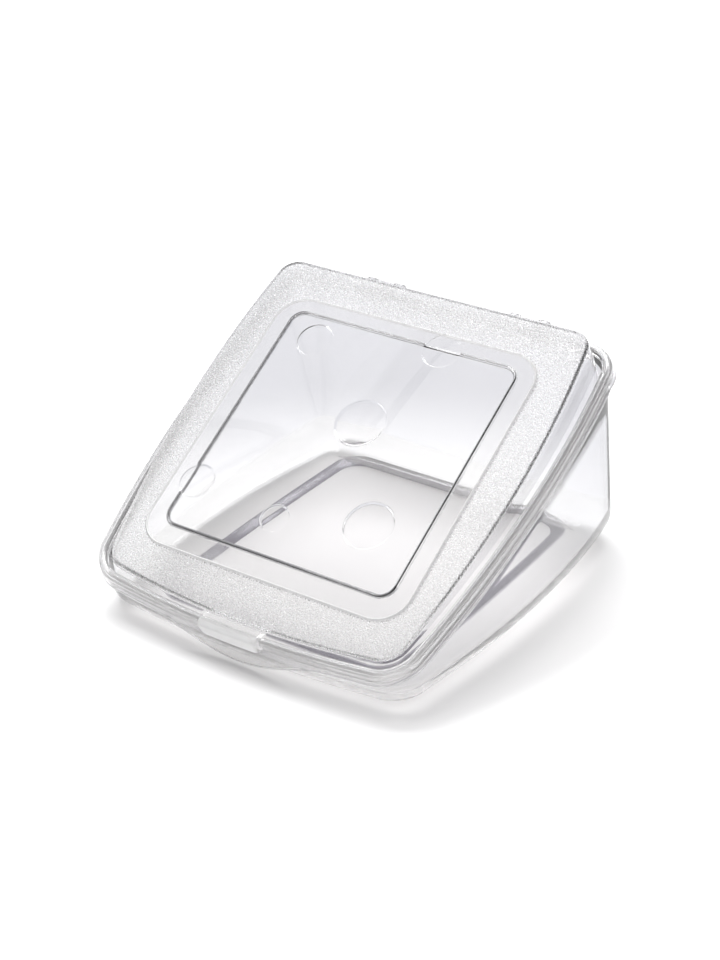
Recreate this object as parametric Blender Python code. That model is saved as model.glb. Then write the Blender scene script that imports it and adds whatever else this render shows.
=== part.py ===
"""Wedge-shaped clear plastic keeper box: a moulded tub, a hinged snap lid and its two hinge pins.

Lengths are in millimetres here and become metres when a mesh is made. The tub's rim lies in one
tilted plane, the rim plane. Points on it are (u, v, n): u to the right, v up the slope towards
the back and n square to the plane, upwards. The lid and the upper part of the tub are drawn in
that plane and the tub's floor is drawn level, in (x, y, z). The box stands on z = 0.
"""

import math

import bmesh
import bpy
from mathutils import Vector

MM = 0.001

# Rim: the outermost edge of the tub's flange, seen square to the rim plane
RIM_TILT = math.radians(25.9)
RIM_CENTRE = Vector((0.0, -6.3, 63.9))
RIM_HALF_WIDTH = 100.8
RIM_HALF_LENGTH = 103.9
RIM_TAPER = 0.042
SIDE_BOW = 8.3
FRONT_BOW = 6.3
BACK_BOW = 0.0
RIM_CORNER = 16.0

# Tub: upstand, flange and grip lip at the rim. Insets are measured in from the flange's edge
UPSTAND_TOP = -0.6
UPSTAND_OUT = 2.6
UPSTAND_IN = 4.0
FLANGE_TOP = -4.9
FLANGE_UNDER = -6.3
RIM_EDGE = 0.4
TUB_WALL = 1.9
LIP_REACH = 2.2
LIP_HALF = 40.0
LIP_DROOP = 11.5
LIP_FADE = 1.7

# Tub: the walls lean back on the way down, draft inwards and round into a level floor
WALL_LEAN = math.radians(11.5)
WALL_DRAFT = math.radians(2.6)
WALL_CORNER = 19.0
FOOT_CORNER = 12.0
CORNER_SHARE = 0.6
SHALLOW_ROUND = 6.0
DEEP_ROUND = 15.0
FULL_DEPTH = 100.0
RING_UNDER = 1.5
FLOOR_THICK = 2.0
PANEL_HALF_WIDTH = 70.8
PANEL_FRONT = -72.6
PANEL_BACK = 95.1
PANEL_BOW = 1.6
PANEL_CORNER = 14.0
PANEL_SLOPE = 6.0
PANEL_STEP = 0.6
PANEL_CORNER_SHARE = 0.5

# Lid: bead, ledge, raised top and window
LID_SHEET = 1.5
SKIRT_OUT = 1.0
SKIRT_IN = 2.2
SKIRT_FOOT = -4.6
BEAD_MIDDLE = 3.1
BEAD_SPRING = -0.6
BEAD_OUTER = 2.2
BEAD_INNER = 1.0
BEAD_LEDGE_ANGLE = 16.0
BEAD_OUTER_STEPS = 6
BEAD_INNER_STEPS = 4
TOP_FOOT = 7.5
TOP_CORNER = 9.5
TOP_DRAFT = 0.5
TOP_FRONT_HEIGHT = 0.9
TOP_BACK_HEIGHT = 17.9
TOP_ROUND = 1.6
ROUND_SHOULDER = 0.3
UNDER_ROUND = 0.6
STEP_MIDDLE = 0.3
STEP_HALF_WIDTH = 73.6
STEP_HALF_LENGTH = 73.8
STEP_CORNER = 15.0
WINDOW_MIDDLE = 1.8
WINDOW_HALF_WIDTH = 64.3
WINDOW_HALF_LENGTH = 64.6
WINDOW_CORNER = 7.0
WINDOW_RISE = 1.1
TAB_HALF = 16.7
TAB_END = 1.2
TAB_PROUD = 1.9
TAB_RISE = 1.7

# Hinge: two clip hinges behind the back edge, each with a stub pin
HINGE_OFFSET = 42.0
AXIS_BEHIND = 3.6
AXIS_N = -3.5
TUB_LUG_ROUND = 3.6
LID_LUG_ROUND = 3.4
LUG_REACH = 6.0
LID_LUG_REACH = 5.4
LID_LUG_HALF = 6.0
LUG_GAP = 0.5
TUB_LUG_WIDE = 4.0
TUB_LUG_UNDER = 0.1
LID_LUG_LOW = 0.2
LID_LUG_HIGH = 3.2
PIN_ROUND = 1.5
BORE_ROUND = 1.8
PIN_HEAD_ROUND = 2.7
PIN_HEAD_THICK = 1.4
PIN_CHAMFER = 0.5
PIN_GAP = 0.3
BORE_PAST = 2.0

# Fineness of the outlines
CORNER_STEPS = 6
SIDE_STEPS = 7
BACK_STEPS = 7
FRONT_STATIONS = (60.0, 50.0, 42.0, 34.0, 26.0, TAB_HALF + TAB_END, TAB_HALF, 12.0, 6.0)
END_GAP = 0.02
ROUND_STEPS = 5
PIN_STEPS = 20
LUG_STEPS = 14
SHARP_ANGLE = math.radians(40)

AXIS_V = RIM_HALF_LENGTH + AXIS_BEHIND


def clear_scene():
    for old in list(bpy.data.objects):
        bpy.data.objects.remove(old, do_unlink=True)


def material(name, colour, roughness, transmission):
    made = bpy.data.materials.new(name)
    made.use_nodes = True
    shader = made.node_tree.nodes["Principled BSDF"]
    shader.inputs["Base Color"].default_value = (*colour, 1.0)
    shader.inputs["Roughness"].default_value = roughness
    shader.inputs["Metallic"].default_value = 0.0
    shader.inputs["Transmission Weight"].default_value = transmission
    shader.inputs["IOR"].default_value = 1.5
    return made


def on_rim(u, v, n):
    """World place, in millimetres, of a point given in the rim plane's own directions."""
    across = math.cos(RIM_TILT)
    up = math.sin(RIM_TILT)
    return RIM_CENTRE + Vector((u, v * across - n * up, v * up + n * across))


def outline(half_width, front, back, side_bow, front_bow, back_bow, corner):
    """A rounded rectangle whose sides bow outwards, anticlockwise from the front's left end.

    The half width and the front and back are those at the middles of the sides.
    """
    wide = half_width - side_bow
    low = front + front_bow
    high = back - back_bow
    middle = (low + high) / 2
    reach = (high - low) / 2
    straight = wide - corner
    stations = [-s for s in FRONT_STATIONS] + [0.0] + [s for s in reversed(FRONT_STATIONS)]
    limit = straight - END_GAP
    points = [(min(max(s, -limit), limit), low) for s in stations]
    corners = ((straight, low + corner, -90), (straight, high - corner, 0),
               (-straight, high - corner, 90), (-straight, low + corner, 180))
    runs = (SIDE_STEPS, BACK_STEPS, SIDE_STEPS, 0)
    for (cx, cy, start), run in zip(corners, runs):
        for step in range(CORNER_STEPS + 1):
            angle = math.radians(start + 90 * step / CORNER_STEPS)
            points.append((cx + corner * math.cos(angle), cy + corner * math.sin(angle)))
        turn = math.radians(start + 90)
        from_x, from_y = points[-1]
        length = 2 * (straight if start in (0, 180) else reach - corner)
        for step in range(1, run):
            along = length * step / run
            points.append((from_x + along * math.cos(turn + math.pi / 2),
                           from_y + along * math.sin(turn + math.pi / 2)))
    bowed = []
    for x, y in points:
        off = (y - middle) / reach
        end_bow = back_bow if off > 0 else front_bow
        wider = 1 + side_bow / wide * (1 - off * off)
        longer = 1 + end_bow / reach * (1 - (x / wide) ** 2)
        bowed.append((x * wider, middle + (y - middle) * longer))
    return bowed


def rim_outline(inset, corner):
    """A line set in from the flange's edge, in the rim plane. The rim is wider at the back."""
    points = outline(RIM_HALF_WIDTH - inset, inset - RIM_HALF_LENGTH, RIM_HALF_LENGTH - inset,
                     SIDE_BOW, FRONT_BOW, BACK_BOW, corner)
    return [(u * (1 + RIM_TAPER * v / RIM_HALF_LENGTH), v) for u, v in points]


def edge_outline(inset):
    return rim_outline(inset, RIM_CORNER - inset)


def wall_outline(inset):
    """The upper end of the tub's wall, whose corners are rounder than the rim's."""
    return rim_outline(inset, WALL_CORNER - CORNER_SHARE * inset)


def top_outline(inset):
    """The lid's raised top, whose corners are sharper than the rim's."""
    return rim_outline(inset, TOP_CORNER + TOP_FOOT - inset)


def panel_outline(inset):
    return outline(PANEL_HALF_WIDTH - inset, PANEL_FRONT + inset, PANEL_BACK - inset,
                   PANEL_BOW, PANEL_BOW, BACK_BOW, PANEL_CORNER - PANEL_CORNER_SHARE * inset)


def square_outline(half_width, middle, half_length, corner):
    return outline(half_width, middle - half_length, middle + half_length, 0.0, 0.0, 0.0, corner)


def rim_ring(inset, n):
    return [on_rim(u, v, n) for u, v in edge_outline(inset)]


def wall_ring(inset, n):
    return [on_rim(u, v, n) for u, v in wall_outline(inset)]


def level_ring(points, z):
    return [Vector((x, y, z)) for x, y in points]


def floor_round(depth):
    """How far in from the wall the floor's rounding ends: further where the tub is deeper."""
    return SHALLOW_ROUND + (DEEP_ROUND - SHALLOW_ROUND) * depth / FULL_DEPTH


def foot_ring(wall_inset, z, rounded):
    """Where the tub's walls, or a line set in from them, meet the level z.

    Each point starts under the rim's flange, drops along the lean of the walls and moves in by
    the draft over its own depth. If rounded, it then moves in to where the floor's rounding ends.
    """
    outer = rim_outline(wall_inset, FOOT_CORNER)
    inner = rim_outline(wall_inset + 1, FOOT_CORNER - CORNER_SHARE)
    ring = []
    for (u0, v0), (u1, v1) in zip(outer, inner):
        edge = on_rim(u0, v0, FLANGE_UNDER)
        depth = edge.z - z
        inset = depth * math.tan(WALL_DRAFT) + (floor_round(depth) if rounded else 0.0)
        foot = edge + Vector((u1 - u0, v1 - v0, 0.0)) * inset
        ring.append(Vector((foot.x, foot.y + depth * math.tan(WALL_LEAN), z)))
    return ring


def lip_share(u, v):
    """1 at the middle of the front grip lip, 0 where it runs out into the flange."""
    off = u / LIP_HALF
    if v > 0 or abs(off) >= 1:
        return 0.0
    return (1 - off * off) ** LIP_FADE


def lip_ring(inset, n):
    """A ring of the flange's edge, pushed out and down where the grip lip is."""
    ring = []
    for u, v in edge_outline(inset):
        share = lip_share(u, v)
        ring.append(on_rim(u, v - share * LIP_REACH, n - share * LIP_DROOP))
    return ring


def tab_share(u, v):
    """1 along the thumb tab on the lid's front edge, 0 beyond its ends."""
    if v > 0:
        return 0.0
    return min(max((TAB_HALF + TAB_END - abs(u)) / TAB_END, 0.0), 1.0)


def lid_ring(inset, n, tab_out=0.0, tab_up=0.0):
    ring = []
    for u, v in edge_outline(inset):
        share = tab_share(u, v)
        ring.append(on_rim(u, v - share * tab_out, n + share * tab_up))
    return ring


def top_height(v):
    """Height of the lid's raised top over the ledge: low at the front and high at the back."""
    share = (v + RIM_HALF_LENGTH) / (2 * RIM_HALF_LENGTH)
    return TOP_FRONT_HEIGHT + (TOP_BACK_HEIGHT - TOP_FRONT_HEIGHT) * share


def top_ring(points, below):
    return [on_rim(u, v, top_height(v) - below) for u, v in points]


def rounded_ring(inset, share):
    """A ring of the raised top's rounded edge, at a share of the way down the round."""
    ring = []
    for u, v in top_outline(inset):
        high = top_height(v)
        ring.append(on_rim(u, v, high - share * min(TOP_ROUND, high / 2)))
    return ring


def curved_wall(upper, corner, floor):
    """Rings that round each straight wall, from upper to corner, into the floor ring."""
    rings = []
    starts = [low + (high - low).normalized() * (flat - low).length
              for high, low, flat in zip(upper, corner, floor)]
    for step in range(ROUND_STEPS + 1):
        t = step / ROUND_STEPS
        rings.append([a * (1 - t) ** 2 + b * 2 * t * (1 - t) + c * t * t
                      for a, b, c in zip(starts, corner, floor)])
    return rings


def loft(name, rings, origin, finish):
    """A closed solid through a list of rings, capped at both ends, its origin where given."""
    mesh = bpy.data.meshes.new(name)
    shape = bmesh.new()
    rows = [[shape.verts.new((point - origin) * MM) for point in ring] for ring in rings]
    count = len(rings[0])
    for lower, upper in zip(rows, rows[1:]):
        for i in range(count):
            j = (i + 1) % count
            shape.faces.new((lower[i], lower[j], upper[j], upper[i]))
    shape.faces.new(list(reversed(rows[0])))
    shape.faces.new(rows[-1])
    bmesh.ops.recalc_face_normals(shape, faces=shape.faces)
    bmesh.ops.triangulate(shape, faces=[f for f in shape.faces if len(f.verts) > 4])
    shape.to_mesh(mesh)
    shape.free()
    mesh.shade_smooth()
    mesh.set_sharp_from_angle(angle=SHARP_ANGLE)
    made = bpy.data.objects.new(name, mesh)
    made.location = origin * MM
    made.data.materials.append(finish)
    bpy.context.scene.collection.objects.link(made)
    return made


def tub_rings():
    """From the underside of the floor panel, round the rim, to the top of the floor panel."""
    wall_in = UPSTAND_OUT + TUB_WALL
    ring_top = RING_UNDER + FLOOR_THICK
    outer_top = wall_ring(UPSTAND_OUT, FLANGE_UNDER)
    inner_top = wall_ring(wall_in, FLANGE_UNDER - RIM_EDGE)
    outer_walls = curved_wall(outer_top, foot_ring(UPSTAND_OUT, RING_UNDER, False),
                              foot_ring(UPSTAND_OUT, RING_UNDER, True))
    inner_walls = curved_wall(inner_top, foot_ring(wall_in, ring_top, False),
                              foot_ring(wall_in, ring_top, True))
    rings = [level_ring(panel_outline(PANEL_SLOPE), 0.0), level_ring(panel_outline(0.0), RING_UNDER)]
    rings += reversed(outer_walls)
    rings += [outer_top, lip_ring(RIM_EDGE, FLANGE_UNDER), lip_ring(0.0, FLANGE_UNDER + RIM_EDGE),
              lip_ring(0.0, FLANGE_TOP - RIM_EDGE), lip_ring(RIM_EDGE, FLANGE_TOP)]
    rings += [rim_ring(UPSTAND_OUT, FLANGE_TOP), rim_ring(UPSTAND_OUT, UPSTAND_TOP - RIM_EDGE),
              rim_ring(UPSTAND_OUT + RIM_EDGE, UPSTAND_TOP), rim_ring(UPSTAND_IN - RIM_EDGE, UPSTAND_TOP),
              rim_ring(UPSTAND_IN, UPSTAND_TOP - RIM_EDGE), rim_ring(UPSTAND_IN, FLANGE_TOP)]
    rings += [inner_top] + inner_walls
    rings += [level_ring(panel_outline(PANEL_STEP), ring_top),
              level_ring(panel_outline(PANEL_SLOPE + PANEL_STEP), FLOOR_THICK)]
    return rings


def bead_arc(radius, first, last, steps, tab_out, tab_up):
    """Rings round the lid's bead between two angles, in degrees from straight inwards."""
    rings = []
    for step in range(steps + 1):
        angle = math.radians(first + (last - first) * step / steps)
        inset = BEAD_MIDDLE + radius * math.cos(angle)
        height = BEAD_SPRING + radius * math.sin(angle)
        rings.append(lid_ring(inset, height, tab_out, tab_up))
    return rings


def lid_rings():
    """From the top of the window, out over the bead and back inside to the window's underside."""
    window = square_outline(WINDOW_HALF_WIDTH, WINDOW_MIDDLE, WINDOW_HALF_LENGTH, WINDOW_CORNER)
    step = square_outline(STEP_HALF_WIDTH, STEP_MIDDLE, STEP_HALF_LENGTH, STEP_CORNER)
    wall_top = TOP_FOOT + TOP_DRAFT
    rings = [top_ring(window, -WINDOW_RISE), top_ring(step, 0.0)]
    rings += [rounded_ring(wall_top + TOP_ROUND, 0.0),
              rounded_ring(wall_top + TOP_ROUND * ROUND_SHOULDER, ROUND_SHOULDER),
              rounded_ring(wall_top, 1.0)]
    rings += [[on_rim(u, v, 0.0) for u, v in top_outline(TOP_FOOT)]]
    rings += bead_arc(BEAD_OUTER, BEAD_LEDGE_ANGLE, 180, BEAD_OUTER_STEPS, TAB_PROUD, TAB_RISE)
    rings += [lid_ring(SKIRT_OUT, SKIRT_FOOT, TAB_PROUD), lid_ring(SKIRT_IN, SKIRT_FOOT)]
    rings += bead_arc(BEAD_INNER, 180, 0, BEAD_INNER_STEPS, 0.0, 0.0)
    rings += [rim_ring(BEAD_MIDDLE + BEAD_INNER, -LID_SHEET),
              [on_rim(u, v, -LID_SHEET) for u, v in top_outline(TOP_FOOT + LID_SHEET)]]
    inner = wall_top + LID_SHEET
    under_round = TOP_ROUND * UNDER_ROUND
    rings += [top_ring(top_outline(inner), LID_SHEET + under_round),
              top_ring(top_outline(inner + under_round), LID_SHEET)]
    rings += [top_ring(step, LID_SHEET), top_ring(window, LID_SHEET - WINDOW_RISE)]
    return rings


def axis_point(u):
    return on_rim(u, AXIS_V, AXIS_N)


def prism(name, profile, start, end, origin, finish):
    """A slab between two u stations, its profile given in (v, n) from the hinge axis."""
    rings = [[on_rim(u, AXIS_V + v, AXIS_N + n) for v, n in profile] for u in (start, end)]
    return loft(name, rings, origin, finish)


def arc(radius, first, last, steps):
    """Points on an arc between two angles in degrees, both ends among them."""
    angles = [math.radians(first + (last - first) * i / steps) for i in range(steps + 1)]
    return [(radius * math.cos(angle), radius * math.sin(angle)) for angle in angles]


def circle(radius):
    return arc(radius, 0, 360 - 360 / PIN_STEPS, PIN_STEPS - 1)


def tub_lug_profile():
    """An eye round the hinge axis with an arm forwards under the flange."""
    low = -TUB_LUG_ROUND
    high = FLANGE_TOP - TUB_LUG_UNDER - AXIS_N
    meet = 180 - math.degrees(math.asin(high / TUB_LUG_ROUND))
    return [(-LUG_REACH, low)] + arc(TUB_LUG_ROUND, -90, meet, LUG_STEPS) + [(-LUG_REACH, high)]


def lid_lug_profile():
    """An eye round the hinge axis with an arm forwards into the bead."""
    first = 180 - math.degrees(math.asin(LID_LUG_LOW / LID_LUG_ROUND))
    last = 360 + math.degrees(math.asin(LID_LUG_HIGH / LID_LUG_ROUND))
    eye = arc(LID_LUG_ROUND, first, last, LUG_STEPS)
    return [(-LID_LUG_REACH, LID_LUG_LOW)] + eye + [(-LID_LUG_REACH, LID_LUG_HIGH)]


def as_tool(tool):
    tool.hide_render = True
    tool.display_type = "WIRE"


def boolean(target, tool, operation):
    as_tool(tool)
    modifier = target.modifiers.new(operation.lower() + "_" + tool.name, "BOOLEAN")
    modifier.operation = operation
    modifier.object = tool


def add_hinge(tub, lid, side, finish):
    """One clip hinge: two lugs on the tub, one between them on the lid, and a headed stub pin."""
    middle = side * HINGE_OFFSET
    word = "right" if side > 0 else "left"
    near = LID_LUG_HALF + LUG_GAP
    far = near + TUB_LUG_WIDE
    origin = axis_point(middle)
    for place, first, last in (("inner", -far, -near), ("outer", near, far)):
        lug = prism(f"tub_lug_{place}_{word}", tub_lug_profile(), middle + first, middle + last,
                    origin, finish)
        boolean(tub, lug, "UNION")
    lug = prism(f"lid_lug_{word}", lid_lug_profile(), middle - LID_LUG_HALF, middle + LID_LUG_HALF,
                origin, finish)
    boolean(lid, lug, "UNION")
    bore_end = far + BORE_PAST
    bore = prism(f"bore_{word}", circle(BORE_ROUND), middle - bore_end, middle + bore_end, origin, finish)
    boolean(tub, bore, "DIFFERENCE")
    boolean(lid, bore, "DIFFERENCE")
    return make_pin(word, middle, far, side, finish)


def make_pin(word, middle, far, side, finish):
    """A stub pin along the hinge axis, with a head at its outer end and a chamfer at its inner end."""
    half = far + PIN_GAP
    head = half + PIN_HEAD_THICK
    stations = ((head, PIN_HEAD_ROUND - PIN_CHAMFER), (head - PIN_CHAMFER, PIN_HEAD_ROUND),
                (half, PIN_HEAD_ROUND), (half, PIN_ROUND),
                (PIN_CHAMFER - half, PIN_ROUND), (-half, PIN_ROUND - PIN_CHAMFER))
    rings = []
    for along, radius in stations:
        u = middle + side * along
        rings.append([on_rim(u, AXIS_V + v, AXIS_N + n) for v, n in circle(radius)])
    return loft(f"hinge_pin_{word}", rings, axis_point(middle), finish)


def build():
    clear_scene()
    clear = material("clear_plastic", (0.93, 0.94, 0.95), 0.04, 1.0)
    lid_finish = material("clear_plastic_lid", (0.93, 0.94, 0.95), 0.10, 1.0)
    pin_finish = material("hinge_pin_plastic", (0.90, 0.91, 0.92), 0.15, 0.8)
    tub = loft("tub", tub_rings(), Vector((0.0, 0.0, 0.0)), clear)
    lid = loft("lid", lid_rings(), axis_point(0.0), lid_finish)
    for side in (-1, 1):
        add_hinge(tub, lid, side, pin_finish)


build()
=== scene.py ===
"""Looks of the wedge-shaped keeper box: clear moulded tub, frosted and clear lid, two hinge pins.

Lengths are in millimetres until a mesh is made. Points of the rim and the lid are (u, v, n) in the
tilted rim plane: u to the right, v up the slope towards the back, n square to it. The tub's floor
is drawn level, in (x, y, z), as the CAD model has it.
"""

import math

import bmesh
import bpy
from mathutils import Matrix, Vector
from mathutils.geometry import delaunay_2d_cdt


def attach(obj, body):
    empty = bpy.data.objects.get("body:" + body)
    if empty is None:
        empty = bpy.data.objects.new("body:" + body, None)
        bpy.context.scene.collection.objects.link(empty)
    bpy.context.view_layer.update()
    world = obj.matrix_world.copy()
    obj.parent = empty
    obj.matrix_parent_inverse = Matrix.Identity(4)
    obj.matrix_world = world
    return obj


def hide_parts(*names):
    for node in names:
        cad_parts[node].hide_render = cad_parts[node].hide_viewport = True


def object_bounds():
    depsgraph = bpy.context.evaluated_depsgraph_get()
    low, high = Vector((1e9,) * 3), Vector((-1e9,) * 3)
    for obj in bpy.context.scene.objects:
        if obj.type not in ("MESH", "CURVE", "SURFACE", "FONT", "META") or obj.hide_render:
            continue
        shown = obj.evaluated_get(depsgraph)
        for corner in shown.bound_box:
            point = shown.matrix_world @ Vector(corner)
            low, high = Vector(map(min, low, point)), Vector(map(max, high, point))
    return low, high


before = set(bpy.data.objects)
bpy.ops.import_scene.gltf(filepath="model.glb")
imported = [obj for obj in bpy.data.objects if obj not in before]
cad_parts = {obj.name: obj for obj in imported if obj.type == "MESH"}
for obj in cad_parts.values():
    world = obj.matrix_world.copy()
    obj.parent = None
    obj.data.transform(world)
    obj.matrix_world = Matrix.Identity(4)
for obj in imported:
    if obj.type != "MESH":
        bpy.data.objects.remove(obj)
cad_low, cad_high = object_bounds()

MM = 0.001

# Rim: the outermost edge of the tub's flange, seen square to the rim plane
RIM_TILT = math.radians(25.9)
RIM_CENTRE = Vector((0.0, -6.3, 63.9))
RIM_HALF_WIDTH = 100.8
RIM_HALF_LENGTH = 103.9
RIM_TAPER = 0.042
SIDE_BOW = 8.3
FRONT_BOW = 6.3
RIM_CORNER = 16.0

# Tub
UPSTAND_TOP = -0.6
UPSTAND_OUT = 2.6
UPSTAND_IN = 4.0
FLANGE_TOP = -4.9
FLANGE_UNDER = -6.3
RIM_EDGE = 0.4
TUB_WALL = 1.9
LIP_REACH = 2.2
LIP_HALF = 50.0
LIP_DROOP = 12.3
LIP_FADE = 1.9
LIP_BACK = -93.5
LIP_FINISH_SHARE = 0.8  # of half the lip, where the lip's darker finish, a painted shade, is
WALL_LEAN = math.radians(11.5)
WALL_DRAFT = math.radians(2.6)
WALL_CORNER = 19.0
FOOT_CORNER = 12.0
CORNER_SHARE = 0.6
SHALLOW_ROUND = 6.0
DEEP_ROUND = 15.0
FULL_DEPTH = 100.0
RING_UNDER = 1.5
FLOOR_THICK = 2.0
PANEL_HALF_WIDTH = 70.8
PANEL_FRONT = -72.6
PANEL_BACK = 95.1
PANEL_BOW = 1.6
PANEL_CORNER = 14.0
PANEL_SLOPE = 6.0
PANEL_STEP = 0.6
SLOPE_STEPS = 8
SLOPE_EASE = 0.35  # share of the slope that is eased, the rest being straight

# Lid
LID_SHEET = 1.5
SKIRT_OUT = 1.0
SKIRT_IN = 2.2
SKIRT_FOOT = -4.6
BEAD_MIDDLE = 3.1
BEAD_SPRING = -0.6
BEAD_OUTER = 2.2
BEAD_INNER = 1.0
BEAD_FIRST = 16  # degrees from straight inwards, where the ledge meets the bead
TOP_FOOT = 7.5
TOP_CORNER = 9.5
TOP_DRAFT = 0.5
TOP_FRONT_HEIGHT = 0.9
TOP_BACK_HEIGHT = 17.9
TOP_ROUND = 1.6
TOP_EDGE_STEPS = 8
TOP_WALL_STEPS = 3
INNER_EDGE_STEPS = 4
INNER_DROP = 0.4
STEP_MIDDLE = 0.3
STEP_HALF_WIDTH = 73.6
STEP_HALF_LENGTH = 73.8
STEP_CORNER = 15.0
STEP_WIDE = 1.4
STEP_RISE = 0.7
STEP_RIDGE = 0.6
WINDOW_MIDDLE = 1.8
WINDOW_HALF_WIDTH = 64.3
WINDOW_HALF_LENGTH = 64.6
WINDOW_CORNER = 7.0
WINDOW_EDGE = 0.9
WINDOW_RISE = 0.9
RIDGE_RISE = 1.3
LINE_SHARE = 0.8  # of the step's or ridge's width, where the step's painted highlight or the ridge's painted shade is
TAB_HALF = 14.9
TAB_END = 3.0
TAB_PROUD = 2.2
TAB_RISE = 2.1

# Round dimples pressed into the window: middle u, middle v and diameter
DIMPLES = (
    (-45.6, 53.0, 19.0),
    (21.4, 65.7, 20.0),
    (3.0, 16.7, 26.5),
    (-60.0, -37.8, 18.8),
    (-10.2, -43.3, 14.8),
    (36.0, -32.0, 25.4),
)
DIMPLE_DEPTH = 0.05  # of its own radius
DIMPLE_STEP = 0.5
DIMPLE_SLOPE = 0.08  # of its own radius
DIMPLE_SHARES = (1.03, 1.0, 0.98, 0.96, 0.94, 0.92, 0.89, 0.8, 0.7, 0.6, 0.5, 0.4, 0.3, 0.2, 0.1)
DIMPLE_STEPS = 64
DIMPLE_CREASE = 0.9  # share of the radius from which the mesh follows the rim's circles
EDGE_SHARES = (-1.3, -1.1, -1.0, -0.8, -0.6, -0.4, -0.2, 0.0, 0.2, 0.4, 0.6, 0.8, 1.0, 1.1, 1.3)

# Hinge
HINGE_OFFSET = 42.0
AXIS_V = RIM_HALF_LENGTH + 3.6
AXIS_N = -3.5
TUB_LUG_ROUND = 3.6
LID_LUG_ROUND = 3.4
LUG_REACH = 6.0
LID_LUG_REACH = 5.4
LID_LUG_HALF = 6.0
LUG_GAP = 0.5
TUB_LUG_WIDE = 4.0
TUB_LUG_UNDER = 0.1
LID_LUG_LOW = 0.2
LID_LUG_HIGH = 3.2
BORE_ROUND = 1.8
BORE_STEPS = 35
BORE_OVER = 1.0
LUG_STEPS = 28
LUG_SOFT = 0.25

# Fineness of the outlines
CORNER_STEPS = 14
SIDE_STEPS = 24
BACK_STEPS = 24
FIXED_STATIONS = (0, 3, 6, 9, 12, 14.5, 16.2, 16.7, 17.0, 17.3, 17.6, 17.9, 18.4, 20, 22, 24, 26, 28,
                  30, 32, 34, 36, 38, 40, 43)
FREE_STATIONS = 5
WALL_STEPS = 4
ROUND_STEPS = 12
BEAD_STEPS = 14
EDGE_STEPS = 4
SHARP_ANGLE = math.radians(35)

# Order of the finishes on the tub and on the lid
TUB_CLEAR, TUB_BAND_SHADE, TUB_EDGE, TUB_LIP_SHADE = range(4)
LID_CLEAR, LID_FROSTED, LID_EDGE, LID_SMOOTH, LID_TAB_HIGHLIGHT, LID_WINDOW_EDGE_SHADE, LID_STEP_HIGHLIGHT = range(7)

# Plastic
GRAIN_LOW = 0.3
GRAIN_HIGH = 0.7
RIPPLE_SIZE = 22.0
PLASTIC_IOR = 1.49
UPRIGHT_SHADE_PLACES = (0.1, 0.95)
DIM_STOPS = ((0.25, 0.99), (0.80, 0.34))
DIM_TINT = 0.995
HAZE_COLOUR = (0.95, 0.95, 0.95, 1.0)

# Studio: places and distances are in metres, and the floor's size and the lens in millimetres
FLOOR_SIZE = 6000.0
FLOOR_DROP = 0.1 * MM
FLOOR_NEAR = 0.08
FLOOR_FAR = 0.22
FLOOR_WHITE = (0.90, 0.90, 0.90)
FLOOR_SHADE_GREY = (0.52, 0.52, 0.54)
SKY_STOPS = ((0.0, 0.50), (0.12, 0.60), (0.40, 0.88), (1.0, 1.05))
SKY_BLUE = 1.01
SKY_STRENGTH = 0.72
CAMERA_PLACE = Vector((0.47382, -0.65820, 0.50347))
CAMERA_TARGET = Vector((0.01070, -0.00871, 0.05889))
CAMERA_ROLL = math.radians(-1.5055)
CAMERA_LENS = 72.95
BOUNCES = 32


def on_rim(u, v, n):
    """Place, in millimetres, of a point given in the rim plane's own directions."""
    across = math.cos(RIM_TILT)
    up = math.sin(RIM_TILT)
    return RIM_CENTRE + Vector((u, v * across - n * up, v * up + n * across))


def front_stations(straight):
    """Places along the front edge from left to right. Those near the tab and lip don't move."""
    last = FIXED_STATIONS[-1]
    spread = [last + (straight - last) * i / (FREE_STATIONS + 1) for i in range(1, FREE_STATIONS + 1)]
    half = list(FIXED_STATIONS[1:]) + spread
    return [-s for s in reversed(half)] + [0.0] + half


def outline(half_width, front, back, side_bow, end_bow, corner):
    """A rounded rectangle whose sides and front bow outwards, anticlockwise from its front left."""
    wide = half_width - side_bow
    low = front + end_bow
    middle = (low + back) / 2
    reach = (back - low) / 2
    straight = wide - corner
    points = [(s, low) for s in front_stations(straight)]
    corners = ((straight, low + corner, -90), (straight, back - corner, 0),
               (-straight, back - corner, 90), (-straight, low + corner, 180))
    runs = (SIDE_STEPS, BACK_STEPS, SIDE_STEPS, 0)
    for (cx, cy, start), run in zip(corners, runs):
        for step in range(CORNER_STEPS + 1):
            angle = math.radians(start + 90 * step / CORNER_STEPS)
            points.append((cx + corner * math.cos(angle), cy + corner * math.sin(angle)))
        turn = math.radians(start + 180)
        from_x, from_y = points[-1]
        length = 2 * (straight if start in (0, 180) else reach - corner)
        for step in range(1, run):
            along = length * step / run
            points.append((from_x + along * math.cos(turn), from_y + along * math.sin(turn)))
    bowed = []
    for x, y in points:
        off = (y - middle) / reach
        wider = 1 + side_bow / wide * (1 - off * off)
        longer = 1 + (end_bow if off < 0 else 0.0) / reach * (1 - (x / wide) ** 2)
        bowed.append((x * wider, middle + (y - middle) * longer))
    return bowed


def rim_outline(inset, corner):
    """A line set in from the flange's edge, in the rim plane. The rim is wider at the back."""
    points = outline(RIM_HALF_WIDTH - inset, inset - RIM_HALF_LENGTH, RIM_HALF_LENGTH - inset,
                     SIDE_BOW, FRONT_BOW, corner)
    return [(u * (1 + RIM_TAPER * v / RIM_HALF_LENGTH), v) for u, v in points]


def edge_outline(inset):
    return rim_outline(inset, RIM_CORNER - inset)


def top_outline(inset):
    return rim_outline(inset, TOP_CORNER + TOP_FOOT - inset)


def panel_outline(inset):
    return outline(PANEL_HALF_WIDTH - inset, PANEL_FRONT + inset, PANEL_BACK - inset,
                   PANEL_BOW, PANEL_BOW, PANEL_CORNER - inset / 2)


def rim_ring(inset, n):
    return [on_rim(u, v, n) for u, v in edge_outline(inset)]


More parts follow.
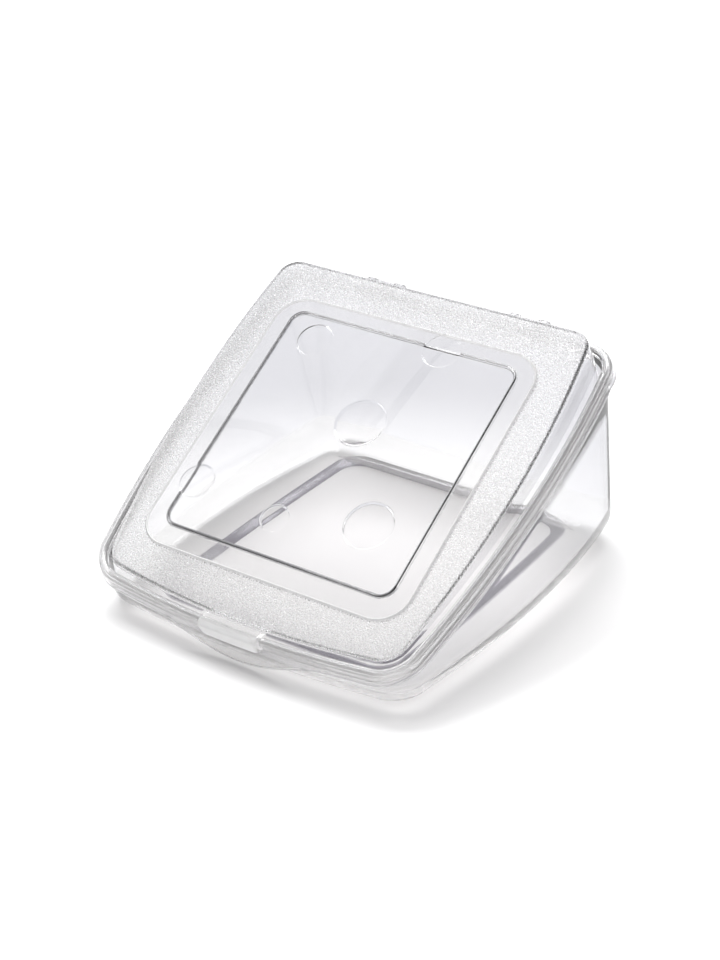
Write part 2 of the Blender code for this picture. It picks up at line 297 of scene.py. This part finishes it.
def wall_ring(inset, n):
    return [on_rim(u, v, n) for u, v in rim_outline(inset, WALL_CORNER - CORNER_SHARE * inset)]


def level_ring(points, z):
    return [Vector((x, y, z)) for x, y in points]


def foot_ring(wall_inset, z, rounded):
    """Where the tub's leaning walls meet the level z, or where their rounding into it ends."""
    outer = rim_outline(wall_inset, FOOT_CORNER)
    inner = rim_outline(wall_inset + 1, FOOT_CORNER - CORNER_SHARE)
    ring = []
    for (u0, v0), (u1, v1) in zip(outer, inner):
        edge = on_rim(u0, v0, FLANGE_UNDER)
        depth = edge.z - z
        inset = depth * math.tan(WALL_DRAFT)
        if rounded:
            inset += SHALLOW_ROUND + (DEEP_ROUND - SHALLOW_ROUND) * depth / FULL_DEPTH
        foot = edge + Vector((u1 - u0, v1 - v0, 0.0)) * inset
        ring.append(Vector((foot.x, foot.y + depth * math.tan(WALL_LEAN), z)))
    return ring


def ease(value):
    """A smooth rise from 0 to 1 as the value goes from 0 to 1."""
    share = min(max(value, 0.0), 1.0)
    return share * share * (3 - 2 * share)


def lip_ring(inset, n):
    """A ring of the flange's edge, pushed out and down where the grip lip is."""
    ring = []
    for u, v in edge_outline(inset):
        off = min(abs(u) / LIP_HALF, 1.0)
        share = (1 - off * off) ** LIP_FADE if v < 0 else 0.0
        ring.append(on_rim(u, v - share * LIP_REACH, n - share * LIP_DROOP))
    return ring


def lid_ring(inset, n, tab_out=0.0, tab_up=0.0):
    """A ring of the lid's edge, pushed out and up where the thumb tab is."""
    ring = []
    for u, v in edge_outline(inset):
        share = ease((TAB_HALF + TAB_END - abs(u)) / TAB_END) if v < 0 else 0.0
        ring.append(on_rim(u, v - share * tab_out, n + share * tab_up))
    return ring


def top_height(v):
    """Height of the lid's raised top over the ledge: low at the front and high at the back."""
    share = (v + RIM_HALF_LENGTH) / (2 * RIM_HALF_LENGTH)
    return TOP_FRONT_HEIGHT + (TOP_BACK_HEIGHT - TOP_FRONT_HEIGHT) * share


def between(first, last, steps):
    """Rings evenly spaced from first up to, but without, last."""
    return [[a.lerp(b, i / steps) for a, b in zip(first, last)] for i in range(steps)]


def curved_wall(upper, corner, floor):
    """Rings down each straight wall and round its foot into the floor ring."""
    starts = [low + (high - low).normalized() * (flat - low).length
              for high, low, flat in zip(upper, corner, floor)]
    rings = between(upper, starts, WALL_STEPS)
    for step in range(ROUND_STEPS + 1):
        t = step / ROUND_STEPS
        rings.append([a * (1 - t) ** 2 + b * 2 * t * (1 - t) + c * t * t
                      for a, b, c in zip(starts, corner, floor)])
    return rings


def link(name, shape, finishes):
    """Turns a bmesh drawn in millimetres into an object in metres, shaded smooth but for edges."""
    bmesh.ops.remove_doubles(shape, verts=shape.verts, dist=0.001)
    bmesh.ops.recalc_face_normals(shape, faces=shape.faces)
    bmesh.ops.scale(shape, vec=Vector((MM, MM, MM)), verts=shape.verts)
    mesh = bpy.data.meshes.new(name)
    shape.to_mesh(mesh)
    shape.free()
    mesh.shade_smooth()
    mesh.set_sharp_from_angle(angle=SHARP_ANGLE)
    for finish in finishes:
        mesh.materials.append(finish)
    made = bpy.data.objects.new(name, mesh)
    bpy.context.scene.collection.objects.link(made)
    return made


def add_rings(shape, rings, finish_index=0):
    """Joins each ring to the next with four-sided faces. Returns the first and last ring's vertices."""
    rows = [[shape.verts.new(point) for point in ring] for ring in rings]
    count = len(rows[0])
    for lower, upper in zip(rows, rows[1:]):
        for i in range(count):
            j = (i + 1) % count
            face = shape.faces.new((lower[i], lower[j], upper[j], upper[i]))
            face.material_index = finish_index
    return rows[0], rows[-1]


def edge_round(ring_at, inset, n, radius, first):
    """Rings round a rim's edge: a quarter circle from the angle first, in degrees, turning inwards.

    The edge's square corner would be at the inset and the height n.
    """
    rings = []
    for step in range(EDGE_STEPS + 1):
        angle = math.radians(first + 90 * step / EDGE_STEPS)
        out = radius * math.cos(angle)
        up = radius * math.sin(angle)
        rings.append(ring_at(inset - out, n + up))
    return rings


def tub_rings():
    """Three runs of rings: the outside from foot to flange, the rim, and the inside down to the floor."""
    wall_in = UPSTAND_OUT + TUB_WALL
    ring_top = RING_UNDER + FLOOR_THICK
    outer = curved_wall(wall_ring(UPSTAND_OUT, FLANGE_UNDER), foot_ring(UPSTAND_OUT, RING_UNDER, False),
                        foot_ring(UPSTAND_OUT, RING_UNDER, True))
    inner = curved_wall(wall_ring(wall_in, FLANGE_UNDER - RIM_EDGE), foot_ring(wall_in, ring_top, False),
                        foot_ring(wall_in, ring_top, True))
    rings = [outer[0]]
    rings += edge_round(lip_ring, RIM_EDGE, FLANGE_UNDER + RIM_EDGE, RIM_EDGE, -90)
    rings += edge_round(lip_ring, RIM_EDGE, FLANGE_TOP - RIM_EDGE, RIM_EDGE, 0)
    rings += [rim_ring(UPSTAND_OUT - RIM_EDGE / 2, FLANGE_TOP),
              rim_ring(UPSTAND_OUT, FLANGE_TOP + RIM_EDGE / 2)]
    rings += edge_round(rim_ring, UPSTAND_OUT + RIM_EDGE, UPSTAND_TOP - RIM_EDGE, RIM_EDGE, 0)
    rings += edge_round(rim_ring, UPSTAND_IN - RIM_EDGE, UPSTAND_TOP - RIM_EDGE, RIM_EDGE, 90)
    rings += [rim_ring(UPSTAND_IN, FLANGE_TOP), inner[0]]
    return list(reversed(outer)), rings, inner


def panel_slope(inset, high, low):
    """Rings down the sloped band round the floor panel, its two edges slightly rounded."""
    rings = []
    for step in range(SLOPE_STEPS + 1):
        t = step / SLOPE_STEPS
        share = SLOPE_EASE * ease(t) + (1 - SLOPE_EASE) * t
        rings.append(level_ring(panel_outline(inset + PANEL_SLOPE * t), high + (low - high) * share))
    return rings


def make_tub(clear, band, edge, lip):
    shape = bmesh.new()
    ring_top = RING_UNDER + FLOOR_THICK
    under = panel_slope(0.0, RING_UNDER, 0.0)
    above = panel_slope(PANEL_STEP, ring_top, FLOOR_THICK)
    outside, rim, inside = tub_rings()
    under_low = add_rings(shape, under, TUB_BAND_SHADE)[1]
    above_low = add_rings(shape, above, TUB_BAND_SHADE)[1]
    add_rings(shape, [under[0]] + outside[:ROUND_STEPS + 1], TUB_EDGE)
    add_rings(shape, outside[ROUND_STEPS:], TUB_CLEAR)
    add_rings(shape, rim, TUB_EDGE)
    add_rings(shape, inside[:WALL_STEPS + 1], TUB_CLEAR)
    add_rings(shape, inside[WALL_STEPS:] + [above[0]], TUB_EDGE)
    shape.faces.new(under_low)
    shape.faces.new(above_low)
    # Faces on the grip lip get the greyer lip finish: painted shade.
    for face in shape.faces:
        middle = face.calc_center_median()
        on_lip = abs(middle.x) < LIP_HALF * LIP_FINISH_SHARE and middle.y < LIP_BACK
        if face.material_index == TUB_EDGE and on_lip:
            face.material_index = TUB_LIP_SHADE
    return link("tub_clear", shape, (clear, band, edge, lip))


def square_distance(u, v, half_width, middle, half_length, corner):
    """Distance outside a rounded rectangle's edge, negative inside it."""
    x = abs(u) - half_width + corner
    y = abs(v - middle) - half_length + corner
    return math.hypot(max(x, 0.0), max(y, 0.0)) + min(max(x, y), 0.0) - corner


def step_distance(u, v):
    return square_distance(u, v, STEP_HALF_WIDTH, STEP_MIDDLE, STEP_HALF_LENGTH, STEP_CORNER)


def window_distance(u, v):
    return square_distance(u, v, WINDOW_HALF_WIDTH, WINDOW_MIDDLE, WINDOW_HALF_LENGTH, WINDOW_CORNER)


def face_height(u, v):
    """The raised top's surface: frosted band, ridged step, smooth frame, low ridge and window."""
    out = step_distance(u, v) / STEP_WIDE
    step = STEP_RISE * ease(1 - out) + STEP_RIDGE * ease(1 - abs(2 * out - 1))
    off = window_distance(u, v) / WINDOW_EDGE
    edge = (WINDOW_RISE - STEP_RISE) * ease(1 - off)
    ridge = RIDGE_RISE * ease(1 - abs(off))
    return top_height(v) + step + edge + ridge


def dimpled_height(u, v):
    """The same surface with the round dimples pressed into it."""
    height = face_height(u, v)
    plateau = top_height(v) + WINDOW_RISE
    for middle_u, middle_v, diameter in DIMPLES:
        reach = diameter / 2
        off = math.hypot(u - middle_u, v - middle_v) / reach
        if off < 1:
            drop = DIMPLE_STEP * ease((1 - off) / DIMPLE_SLOPE) + DIMPLE_DEPTH * reach * (1 - off * off)
            height = min(height, plateau - drop)
    return height


def square_loop(half_width, middle, half_length, corner, grow):
    """A rounded rectangle grown outwards by a distance, with even points on its sides."""
    wide = half_width - corner
    long = half_length - corner
    radius = corner + grow
    points = []
    corners = ((wide, middle - long, -90), (wide, middle + long, 0),
               (-wide, middle + long, 90), (-wide, middle - long, 180))
    for (cx, cy, start), (nx, ny, _) in zip(corners, corners[1:] + corners[:1]):
        for step in range(CORNER_STEPS + 1):
            angle = math.radians(start + 90 * step / CORNER_STEPS)
            points.append((cx + radius * math.cos(angle), cy + radius * math.sin(angle)))
        x, y = points[-1]
        for step in range(1, SIDE_STEPS):
            share = step / SIDE_STEPS
            points.append((x + (nx - cx) * share, y + (ny - cy) * share))
    return points


def circle_loop(middle_u, middle_v, radius, steps):
    turn = 2 * math.pi / steps
    return [(middle_u + radius * math.cos(turn * i), middle_v + radius * math.sin(turn * i))
            for i in range(steps)]


def face_plan():
    """A flat triangle mesh of the raised top's face, with an edge along each line of its relief."""
    outer = top_outline(TOP_FOOT + TOP_DRAFT + TOP_ROUND)
    loops = [outer]
    for share in EDGE_SHARES:
        loops.append(square_loop(STEP_HALF_WIDTH, STEP_MIDDLE, STEP_HALF_LENGTH, STEP_CORNER,
                                 STEP_WIDE * share))
        loops.append(square_loop(WINDOW_HALF_WIDTH, WINDOW_MIDDLE, WINDOW_HALF_LENGTH, WINDOW_CORNER,
                                 WINDOW_EDGE * share))
    points, edges = [], []
    for loop in loops:
        start = len(points)
        points += loop
        edges += [(start + i, start + (i + 1) % len(loop)) for i in range(len(loop))]
    for middle_u, middle_v, diameter in DIMPLES:
        for share in DIMPLE_SHARES:
            loop = circle_loop(middle_u, middle_v, diameter / 2 * share, DIMPLE_STEPS)
            start = len(points)
            points += loop
            if share >= DIMPLE_CREASE:
                edges += [(start + i, start + (i + 1) % len(loop)) for i in range(len(loop))]
        points.append((middle_u, middle_v))
    plan = delaunay_2d_cdt([Vector(p) for p in points], edges, [list(range(len(outer)))], 1, 1e-4)
    return plan[0], plan[2]


def finish_at(u, v):
    """Index of the finish at a point of the raised top, from its frosted band in to its window."""
    out = step_distance(u, v)
    if out > 0:
        # The ridge round the step is hazy white: a painted highlight.
        return LID_STEP_HIGHLIGHT if out < STEP_WIDE * LINE_SHARE else LID_FROSTED
    off = window_distance(u, v)
    left = u < WINDOW_CORNER - WINDOW_HALF_WIDTH
    front = v < WINDOW_MIDDLE - WINDOW_HALF_LENGTH + WINDOW_CORNER
    # The window's edge on its left and front sides gets a dark finish: painted shade.
    if abs(off) < WINDOW_EDGE * LINE_SHARE and (left or front):
        return LID_WINDOW_EDGE_SHADE
    return LID_SMOOTH if off > 0 else LID_CLEAR


def add_face(shape, plan, height_at):
    """Raises the flat plan to its heights and gives each face its finish."""
    spots, faces = plan
    raised = [shape.verts.new(on_rim(p.x, p.y, height_at(p.x, p.y))) for p in spots]
    for corners in faces:
        face = shape.faces.new([raised[i] for i in corners])
        middle = sum((spots[i] for i in corners), Vector((0.0, 0.0))) / len(corners)
        face.material_index = finish_at(middle.x, middle.y)


def bead_arc(radius, first, last, tab_out, tab_up):
    """Rings round the lid's bead between two angles, in degrees from straight inwards."""
    rings = []
    for step in range(BEAD_STEPS + 1):
        angle = math.radians(first + (last - first) * step / BEAD_STEPS)
        inset = BEAD_MIDDLE + radius * math.cos(angle)
        height = BEAD_SPRING + radius * math.sin(angle)
        rings.append(lid_ring(inset, height, tab_out, tab_up))
    return rings


def top_edge(sheet, rounding):
    """Rings round the raised top's edge, from its face to its wall, set in by the sheet."""
    rings = []
    for step in range(TOP_EDGE_STEPS + 1):
        angle = math.radians(90 * step / TOP_EDGE_STEPS)
        inset = TOP_FOOT + TOP_DRAFT + sheet + rounding * (1 - math.sin(angle))
        ring = []
        for u, v in top_outline(inset):
            high = top_height(v)
            drop = min(rounding, high / 2) * (1 - math.cos(angle))
            ring.append(on_rim(u, v, high - sheet - drop))
        rings.append(ring)
    return rings


def inner_top_edge():
    """Rings under the raised top's edge, from the inside of its wall to the inside of its face."""
    rings = []
    for step in range(INNER_EDGE_STEPS + 1):
        share = step / INNER_EDGE_STEPS
        inset = TOP_FOOT + TOP_DRAFT + LID_SHEET + (TOP_ROUND - LID_SHEET) * share
        drop = INNER_DROP * (1 - share) ** 2
        rings.append([on_rim(u, v, top_height(v) - LID_SHEET - drop) for u, v in top_outline(inset)])
    return rings


def make_lid(finishes):
    shape = bmesh.new()
    plan = face_plan()
    add_face(shape, plan, dimpled_height)
    add_face(shape, plan, lambda u, v: face_height(u, v) - LID_SHEET)
    outer_edge = top_edge(0.0, TOP_ROUND)
    add_rings(shape, outer_edge, LID_FROSTED)
    foot = [on_rim(u, v, 0.0) for u, v in top_outline(TOP_FOOT)]
    bead = bead_arc(BEAD_OUTER, BEAD_FIRST, 180, TAB_PROUD, TAB_RISE)
    outer = between(outer_edge[-1], foot, TOP_WALL_STEPS) + [foot, bead[0]]
    bead += [lid_ring(SKIRT_OUT, SKIRT_FOOT, TAB_PROUD), lid_ring(SKIRT_IN, SKIRT_FOOT)]
    bead += bead_arc(BEAD_INNER, 180, 0, 0.0, 0.0)
    bead += [rim_ring(BEAD_MIDDLE + BEAD_INNER, -LID_SHEET)]
    under = [bead[-1], [on_rim(u, v, -LID_SHEET) for u, v in top_outline(TOP_FOOT + LID_SHEET)]]
    add_rings(shape, outer, LID_CLEAR)
    add_rings(shape, bead, LID_EDGE)
    add_rings(shape, under + inner_top_edge(), LID_CLEAR)
    # The thumb tab's faces get a hazy white finish: a painted highlight.
    for face in shape.faces:
        middle = face.calc_center_median()
        on_tab = abs(middle.x) < TAB_HALF + TAB_END / 2 and middle.y < 0
        if face.material_index == LID_EDGE and on_tab:
            face.material_index = LID_TAB_HIGHLIGHT
    return link("lid_clear", shape, finishes)


def arc(radius, first, last, steps):
    angles = [math.radians(first + (last - first) * i / steps) for i in range(steps + 1)]
    return [(radius * math.cos(angle), radius * math.sin(angle)) for angle in angles]


def tub_lug_profile():
    """An eye round the hinge axis with an arm forwards under the flange."""
    low = -TUB_LUG_ROUND
    high = FLANGE_TOP - TUB_LUG_UNDER - AXIS_N
    meet = 180 - math.degrees(math.asin(high / TUB_LUG_ROUND))
    return [(-LUG_REACH, low)] + arc(TUB_LUG_ROUND, -90, meet, LUG_STEPS) + [(-LUG_REACH, high)]


def lid_lug_profile():
    """An eye round the hinge axis with an arm forwards into the bead."""
    first = 180 - math.degrees(math.asin(LID_LUG_LOW / LID_LUG_ROUND))
    last = 360 + math.degrees(math.asin(LID_LUG_HIGH / LID_LUG_ROUND))
    eye = arc(LID_LUG_ROUND, first, last, LUG_STEPS)
    return [(-LID_LUG_REACH, LID_LUG_LOW)] + eye + [(-LID_LUG_REACH, LID_LUG_HIGH)]


def prism(name, profile, start, end, finishes):
    shape = bmesh.new()
    rings = [[on_rim(u, AXIS_V + v, AXIS_N + n) for v, n in profile] for u in (start, end)]
    first, last = add_rings(shape, rings)
    shape.faces.new(list(reversed(first)))
    shape.faces.new(last)
    return link(name, shape, finishes)


def make_lug(name, profile, start, end, finish, body):
    """One hinge eye with its bore cut through and its edges softened."""
    lug = prism(name, profile, start, end, (finish,))
    circle = arc(BORE_ROUND, 0, 360 * BORE_STEPS / (BORE_STEPS + 1), BORE_STEPS)
    bore = prism(name + "_bore", circle, start - BORE_OVER, end + BORE_OVER, (finish,))
    cut = lug.modifiers.new("bore", "BOOLEAN")
    cut.operation = "DIFFERENCE"
    cut.object = bore
    soft = lug.modifiers.new("soft", "BEVEL")
    soft.width = LUG_SOFT * MM
    soft.segments = 2
    soft.limit_method = "ANGLE"
    bpy.context.view_layer.update()
    graph = bpy.context.evaluated_depsgraph_get()
    mesh = bpy.data.meshes.new_from_object(lug.evaluated_get(graph))
    lug.modifiers.clear()
    lug.data = mesh
    bpy.data.objects.remove(bore)
    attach(lug, body)
    return lug


def empty_tree(owner):
    """Empties a material's or world's nodes. Returns what adds a node and what joins two sockets."""
    owner.use_nodes = True
    tree = owner.node_tree
    tree.nodes.clear()
    return tree.nodes.new, tree.links.new


def set_stops(ramp, stops):
    """Gives a colour ramp node its stops, each a position and a colour, in rising order."""
    elements = ramp.color_ramp.elements
    while len(elements) < len(stops):
        elements.new(0.5)
    for element, (where, colour) in zip(elements, stops):
        element.position = where
        element.color = (*colour, 1.0)


def add_haze(add, wire, surface, haze):
    """Mixes a share of scattered light, half let through and half sent back, into a surface."""
    scatter = add("ShaderNodeBsdfTranslucent")
    scatter.inputs["Color"].default_value = HAZE_COLOUR
    sheen = add("ShaderNodeBsdfDiffuse")
    sheen.inputs["Color"].default_value = HAZE_COLOUR
    both = add("ShaderNodeMixShader")
    both.inputs["Fac"].default_value = 0.5
    wire(scatter.outputs["BSDF"], both.inputs[1])
    wire(sheen.outputs["BSDF"], both.inputs[2])
    hazy = add("ShaderNodeMixShader")
    hazy.inputs["Fac"].default_value = haze
    wire(surface, hazy.inputs[1])
    wire(both.outputs["Shader"], hazy.inputs[2])
    return hazy.outputs["Shader"]


def plastic(name, upright, level, rough, grain, ripple=0.01, haze=0.0):
    """Clear plastic, tinted darker the more upright it stands, a painted shade. Rough holds its least and
    greatest roughness.

    Grain is the size and height of the fine texture that frosts it, and ripple the height of a
    soft wave. Shadow and diffuse rays go straight through, dimmed more where they meet a surface
    at a slant, so that upright walls throw the darker shadow. Haze scatters light in the sheet.
    """
    made = bpy.data.materials.new(name)
    add, wire = empty_tree(made)
    place = add("ShaderNodeTexCoord")
    fine = add("ShaderNodeTexNoise")
    fine.inputs["Scale"].default_value = 1 / (grain[0] * MM)
    fine.inputs["Detail"].default_value = 2.0
    wire(place.outputs["Object"], fine.inputs["Vector"])
    spread = add("ShaderNodeMapRange")
    spread.inputs["From Min"].default_value = GRAIN_LOW
    spread.inputs["From Max"].default_value = GRAIN_HIGH
    spread.inputs["To Min"].default_value = rough[0]
    spread.inputs["To Max"].default_value = rough[1]
    wire(fine.outputs["Fac"], spread.inputs["Value"])
    soft = add("ShaderNodeTexNoise")
    soft.inputs["Scale"].default_value = 1 / (RIPPLE_SIZE * MM)
    soft.inputs["Detail"].default_value = 1.0
    wire(place.outputs["Object"], soft.inputs["Vector"])
    wave = add("ShaderNodeBump")
    wave.inputs["Strength"].default_value = 1.0
    wave.inputs["Distance"].default_value = ripple * MM
    wire(soft.outputs["Fac"], wave.inputs["Height"])
    bump = add("ShaderNodeBump")
    bump.inputs["Strength"].default_value = 1.0
    bump.inputs["Distance"].default_value = grain[1] * MM
    wire(fine.outputs["Fac"], bump.inputs["Height"])
    wire(wave.outputs["Normal"], bump.inputs["Normal"])
    shader = add("ShaderNodeBsdfPrincipled")
    facing = add("ShaderNodeSeparateXYZ")
    wire(place.outputs["Normal"], facing.inputs["Vector"])
    flat = add("ShaderNodeMath")
    flat.operation = "ABSOLUTE"
    wire(facing.outputs["Z"], flat.inputs[0])
    # Painted shade: the more upright a face stands, the darker its colour.
    upright_shade = add("ShaderNodeValToRGB")
    set_stops(upright_shade, list(zip(UPRIGHT_SHADE_PLACES, (upright, level))))
    wire(flat.outputs["Value"], upright_shade.inputs["Fac"])
    wire(upright_shade.outputs["Color"], shader.inputs["Base Color"])
    shader.inputs["IOR"].default_value = PLASTIC_IOR
    shader.inputs["Transmission Weight"].default_value = 1.0
    wire(spread.outputs["Result"], shader.inputs["Roughness"])
    wire(bump.outputs["Normal"], shader.inputs["Normal"])
    slant = add("ShaderNodeLayerWeight")
    slant.inputs["Blend"].default_value = 0.5
    dim = add("ShaderNodeValToRGB")
    set_stops(dim, [(where, (pass_on, pass_on * DIM_TINT, pass_on * DIM_TINT))
                    for where, pass_on in DIM_STOPS])
    wire(slant.outputs["Facing"], dim.inputs["Fac"])
    straight = add("ShaderNodeBsdfTransparent")
    wire(dim.outputs["Color"], straight.inputs["Color"])
    surface = shader.outputs["BSDF"]
    if haze:
        surface = add_haze(add, wire, surface, haze)
    path = add("ShaderNodeLightPath")
    lit = add("ShaderNodeMath")
    lit.operation = "MAXIMUM"
    wire(path.outputs["Is Shadow Ray"], lit.inputs[0])
    wire(path.outputs["Is Diffuse Ray"], lit.inputs[1])
    mix = add("ShaderNodeMixShader")
    wire(lit.outputs["Value"], mix.inputs["Fac"])
    wire(surface, mix.inputs[1])
    wire(straight.outputs["BSDF"], mix.inputs[2])
    output = add("ShaderNodeOutputMaterial")
    wire(mix.outputs["Shader"], output.inputs["Surface"])
    return made


def make_floor():
    """A plain white floor, wide enough to fill the view."""
    shape = bmesh.new()
    bmesh.ops.create_grid(shape, x_segments=1, y_segments=1, size=FLOOR_SIZE)
    floor = link("floor", shape, (floor_finish(),))
    floor.location.z = cad_low.z - FLOOR_DROP


def floor_finish():
    """Matt white, but greyer far from the box for rays that have passed through plastic: painted shade.
    """
    made = bpy.data.materials.new("white_floor")
    add, wire = empty_tree(made)
    place = add("ShaderNodeTexCoord")
    reach = add("ShaderNodeVectorMath")
    reach.operation = "LENGTH"
    wire(place.outputs["Object"], reach.inputs[0])
    far = add("ShaderNodeMapRange")
    far.interpolation_type = "SMOOTHSTEP"
    far.inputs["From Min"].default_value = FLOOR_NEAR
    far.inputs["From Max"].default_value = FLOOR_FAR
    wire(reach.outputs["Value"], far.inputs["Value"])
    # Painted shade: the floor seen through plastic turns grey away from the box.
    path = add("ShaderNodeLightPath")
    through = add("ShaderNodeMath")
    through.operation = "MULTIPLY"
    wire(path.outputs["Is Transmission Ray"], through.inputs[0])
    wire(far.outputs["Result"], through.inputs[1])
    seen_through_shade = add("ShaderNodeValToRGB")
    set_stops(seen_through_shade, ((0.0, FLOOR_WHITE), (1.0, FLOOR_SHADE_GREY)))
    wire(through.outputs["Value"], seen_through_shade.inputs["Fac"])
    shader = add("ShaderNodeBsdfDiffuse")
    wire(seen_through_shade.outputs["Color"], shader.inputs["Color"])
    output = add("ShaderNodeOutputMaterial")
    wire(shader.outputs["BSDF"], output.inputs["Surface"])
    return made


def make_sky():
    """A pale studio all round: bright overhead and greyer towards the horizon."""
    world = bpy.data.worlds.new("studio")
    bpy.context.scene.world = world
    add, wire = empty_tree(world)
    place = add("ShaderNodeTexCoord")
    split = add("ShaderNodeSeparateXYZ")
    wire(place.outputs["Generated"], split.inputs["Vector"])
    ramp = add("ShaderNodeValToRGB")
    set_stops(ramp, [(where, (shade, shade, shade * SKY_BLUE)) for where, shade in SKY_STOPS])
    wire(split.outputs["Z"], ramp.inputs["Fac"])
    back = add("ShaderNodeBackground")
    back.inputs["Strength"].default_value = SKY_STRENGTH
    wire(ramp.outputs["Color"], back.inputs["Color"])
    output = add("ShaderNodeOutputWorld")
    wire(back.outputs["Background"], output.inputs["Surface"])


def make_light(name, place, target, size, power):
    """A rectangular light at a place, turned to face its target. Lengths are in metres."""
    data = bpy.data.lights.new(name, "AREA")
    data.shape = "RECTANGLE"
    data.size, data.size_y = size
    data.energy = power
    lamp = bpy.data.objects.new(name, data)
    lamp.location = place
    lamp.rotation_euler = (Vector(target) - Vector(place)).to_track_quat("-Z", "Y").to_euler()
    bpy.context.scene.collection.objects.link(lamp)
    return lamp


def make_camera():
    """The camera, facing its target with a slight roll."""
    data = bpy.data.cameras.new("camera")
    data.lens = CAMERA_LENS
    data.sensor_width = 36.0
    data.clip_end = 50.0
    camera = bpy.data.objects.new("camera", data)
    facing = (CAMERA_TARGET - CAMERA_PLACE).to_track_quat("-Z", "Y").to_matrix().to_4x4()
    roll = Matrix.Rotation(CAMERA_ROLL, 4, "Z")
    camera.matrix_world = Matrix.Translation(CAMERA_PLACE) @ facing @ roll
    bpy.context.scene.collection.objects.link(camera)
    bpy.context.scene.camera = camera


def paint(node, finish):
    """Gives a CAD node that stays in view its finish."""
    node.data.materials.clear()
    node.data.materials.append(finish)


clear = plastic("clear_plastic", (0.88, 0.88, 0.89), (0.985, 0.985, 0.987),
                rough=(0.0, 0.006), grain=(4.0, 0.0))
edge = plastic("edge_plastic", (0.98, 0.975, 0.97), (0.985, 0.985, 0.985),
               rough=(0.01, 0.06), grain=(3.0, 0.0), haze=0.15)
# The sloped band round the floor panel is tinted dark grey: painted shade for the dark look of its slope.
band = plastic("floor_slope_painted_shade", (0.23, 0.22, 0.26), (0.23, 0.22, 0.26),
               rough=(0.08, 0.14), grain=(4.0, 0.0))
smooth = plastic("smooth_plastic", (0.95, 0.95, 0.95), (0.965, 0.965, 0.965),
                 rough=(0.03, 0.09), grain=(3.0, 0.0), haze=0.08)
# Hazy white for the thumb tab: a painted highlight.
bright = plastic("tab_painted_highlight", (0.97, 0.97, 0.97), (0.97, 0.97, 0.97),
                 rough=(0.04, 0.12), grain=(3.0, 0.0), haze=0.35)
# Dark grey for the window's left and front edge: painted shade.
window_edge_shade_finish = plastic("window_edge_painted_shade", (0.34, 0.34, 0.35), (0.40, 0.40, 0.41),
                         rough=(0.02, 0.06), grain=(3.0, 0.0))
# Nearly white haze on the step's ridge: a painted highlight.
step_highlight_finish = plastic("step_painted_highlight", (0.97, 0.97, 0.97), (0.97, 0.97, 0.97),
                      rough=(0.04, 0.12), grain=(3.0, 0.0), haze=0.75)
# Greyer than the rest of the rim: painted shade on the lip.
lip = plastic("lip_painted_shade", (0.80, 0.80, 0.80), (0.84, 0.84, 0.84),
              rough=(0.03, 0.09), grain=(3.0, 0.0), haze=0.06)
frosted = plastic("frosted_plastic", (0.92, 0.92, 0.92), (0.975, 0.975, 0.975),
                  rough=(0.18, 0.38), grain=(0.9, 0.42), haze=0.15)
pin_finish = plastic("pin_plastic", (0.9, 0.9, 0.9), (0.93, 0.935, 0.94),
                     rough=(0.15, 0.3), grain=(1.5, 0.02), ripple=0.0, haze=0.3)

tub = make_tub(clear, band, edge, lip)
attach(tub, "box")
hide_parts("tub")

lid = make_lid((clear, frosted, edge, smooth, bright, window_edge_shade_finish, step_highlight_finish))
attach(lid, "cover")
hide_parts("lid")

for side, word in ((-1, "left"), (1, "right")):
    middle = side * HINGE_OFFSET
    near = LID_LUG_HALF + LUG_GAP
    far = near + TUB_LUG_WIDE
    for place, first, last in (("inner", -far, -near), ("outer", near, far)):
        lug = make_lug(f"tub_lug_{place}_{word}", tub_lug_profile(), middle + first, middle + last,
                       clear, "box")
    lug = make_lug(f"lid_lug_{word}", lid_lug_profile(), middle - LID_LUG_HALF, middle + LID_LUG_HALF,
                   clear, "cover")
    paint(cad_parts[f"hinge_pin_{word}"], pin_finish)

make_floor()
make_sky()
make_light("overhead", place=(-0.50, 1.15, 2.0), target=(0.0, 0.12, 0.0), size=(1.3, 1.3), power=37.0)
side_light = make_light("side", place=(-1.0, 0.25, 1.8), target=(0.0, 0.05, 0.0), size=(0.8, 0.8),
                        power=23.0)
side_light.visible_glossy = False
side_light.visible_transmission = False
make_camera()
bpy.context.scene.view_settings.view_transform = "Standard"
bpy.context.scene.cycles.max_bounces = BOUNCES
bpy.context.scene.cycles.transmission_bounces = BOUNCES
bpy.context.scene.cycles.transparent_max_bounces = BOUNCES
